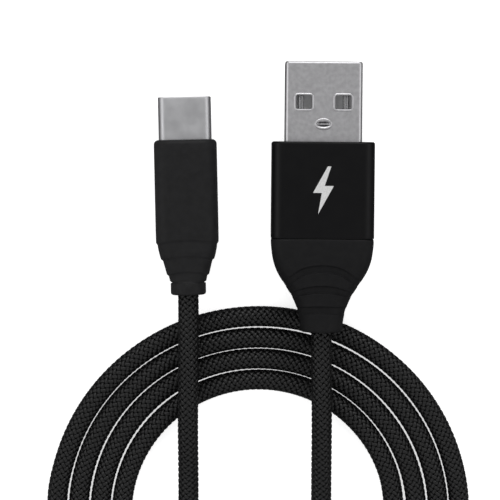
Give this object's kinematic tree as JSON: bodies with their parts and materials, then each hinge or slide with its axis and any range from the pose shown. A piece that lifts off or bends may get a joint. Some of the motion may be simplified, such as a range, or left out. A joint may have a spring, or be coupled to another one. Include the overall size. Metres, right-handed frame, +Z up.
{
  "type": "charging cable",
  "caption": "Coiled braided charging cable: a wide flat plug with a metal shell at one end, a small oval reversible plug at the other.",
  "frame": {"origin": "on the surface the cable lies on, under the middle of the box round the two plugs", "axes": "+Y the way both plugs point, +X to the right seen from above, +Z up"},
  "size_m": [0.0672, 0.1212, 0.0099],
  "materials": {
    "plug_steel": "satin nickel plate",
    "tongue_plastic": "matte",
    "black_plastic": "matte",
    "inner_plastic": "matte",
    "copper": "satin",
    "housing_aluminium": "satin black anodised",
    "relief_rubber": "matte",
    "overmould_rubber": "matte soft touch",
    "contact_gold": "polished gold plate",
    "spring_steel": "satin",
    "board_laminate": "satin",
    "resistor_ceramic": "matte",
    "wire_red": "satin",
    "wire_white": "satin",
    "wire_green": "satin",
    "wire_black": "satin",
    "cord_braid": "matte nylon braid over a soft jacket"
  },
  "bodies": {
    "cable": {"type_a_shell": "plug_steel", "type_a_tongue": "tongue_plastic", "type_a_rear_block": "black_plastic", "type_a_inner_mould": "inner_plastic", "type_a_crimp": "copper", "type_a_housing": "housing_aluminium", "type_a_relief": "relief_rubber", "type_a_contact_vbus": "contact_gold", "type_a_contact_dminus": "contact_gold", "type_a_contact_dplus": "contact_gold", "type_a_contact_gnd": "contact_gold", "type_a_wire_vbus": "wire_red", "type_a_wire_dminus": "wire_white", "type_a_wire_dplus": "wire_green", "type_a_wire_gnd": "wire_black", "type_c_shell": "plug_steel", "type_c_insulator": "black_plastic", "type_c_contact_tails_upper": "contact_gold", "type_c_contact_tails_lower": "contact_gold", "type_c_latch_plate": "spring_steel", "type_c_ground_spring_upper": "spring_steel", "type_c_ground_spring_lower": "spring_steel", "type_c_board": "board_laminate", "type_c_resistor": "resistor_ceramic", "type_c_inner_mould": "inner_plastic", "type_c_crimp": "copper", "type_c_overmould": "overmould_rubber", "type_c_wire_vbus": "wire_red", "type_c_wire_dminus": "wire_white", "type_c_wire_dplus": "wire_green", "type_c_wire_gnd": "wire_black", "cord_type_a_end": "cord_braid", "cord_type_c_end": "cord_braid", "cord_coil": "cord_braid"},
    "latch_left": {"type_c_latch_left": "spring_steel"},
    "latch_right": {"type_c_latch_right": "spring_steel"},
    "contacts_upper": {"type_c_contact_beams_upper": "contact_gold"},
    "contacts_lower": {"type_c_contact_beams_lower": "contact_gold"}
  },
  "joints": [
    {"name": "latch_left_bend", "type": "hinge", "parent": "cable", "child": "latch_left", "pos_m": [-0.0158, 0.00856, 0.00284], "axis": [-0.002, 0.0958, 0.9954], "range_deg": [0, 2.3], "stiffness_Nm_per_rad": 0.5},
    {"name": "latch_right_bend", "type": "hinge", "parent": "cable", "child": "latch_right", "pos_m": [-0.00878, 0.0087, 0.00284], "axis": [0.002, -0.0958, -0.9954], "range_deg": [0, 2.3], "stiffness_Nm_per_rad": 0.5},
    {"name": "contacts_upper_bend", "type": "hinge", "parent": "cable", "child": "contacts_upper", "pos_m": [-0.0123, 0.00907, 0.00323], "axis": [0.9998, 0.0209, 0], "range_deg": [0, 2], "stiffness_Nm_per_rad": 0.4},
    {"name": "contacts_lower_bend", "type": "hinge", "parent": "cable", "child": "contacts_lower", "pos_m": [-0.01229, 0.00899, 0.00237], "axis": [-0.9998, -0.0209, 0], "range_deg": [0, 2], "stiffness_Nm_per_rad": 0.25}
  ]
}
